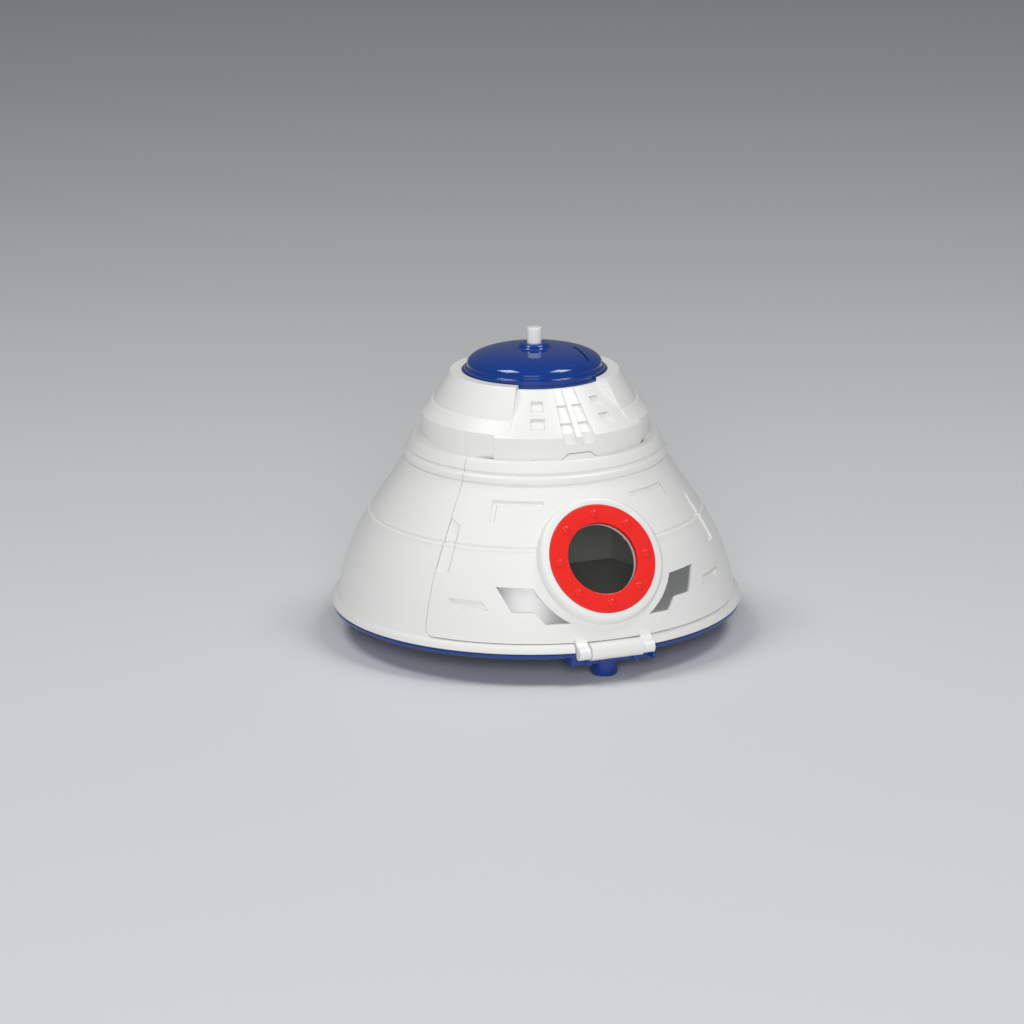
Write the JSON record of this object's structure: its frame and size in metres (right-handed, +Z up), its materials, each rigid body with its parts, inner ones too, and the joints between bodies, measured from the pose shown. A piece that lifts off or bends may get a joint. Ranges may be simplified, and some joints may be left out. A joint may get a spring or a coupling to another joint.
{
  "type": "toy space capsule",
  "caption": "Toy space capsule: conical white hull on a blue dish base, drop-down door with a round red porthole, stepped crown, blue dome and push button.",
  "frame": {"origin": "on the capsule's upright axis, at the level of the surface that its feet stand on", "axes": "+Z up along the capsule's axis, -Y out through the door, +X to the right of someone who looks at the door"},
  "size_m": [0.1486, 0.1509, 0.1118],
  "materials": {
    "white_plastic": "satin moulded plastic",
    "blue_plastic": "glossy moulded plastic",
    "red_plastic": "satin moulded plastic",
    "silver": "satin silver foil",
    "grey_plastic": "matt moulded plastic",
    "white_button": "satin moulded plastic",
    "dark_plastic": "matt moulded plastic",
    "steel": "drawn wire"
  },
  "bodies": {
    "root": {"base_dish": "blue_plastic", "foot_front": "blue_plastic", "foot_rear_left": "blue_plastic", "foot_rear_right": "blue_plastic", "battery_door": "blue_plastic", "battery_box": "dark_plastic", "cabin_floor": "grey_plastic", "cabin_liner": "grey_plastic", "hull_shell": "white_plastic", "crown": "white_plastic", "dome_cap": "blue_plastic", "push_button": "white_button", "hinge_pin": "steel"},
    "door": {"door": "white_plastic", "porthole_ring": "red_plastic", "silver_inlay_left": "silver", "silver_inlay_right": "silver"}
  },
  "joints": [
    {"name": "door_hinge", "type": "hinge", "parent": "root", "child": "door", "pos_m": [0, -0.0739, 0.0115], "axis": [1, 0, 0], "range_deg": [0, 105]}
  ]
}
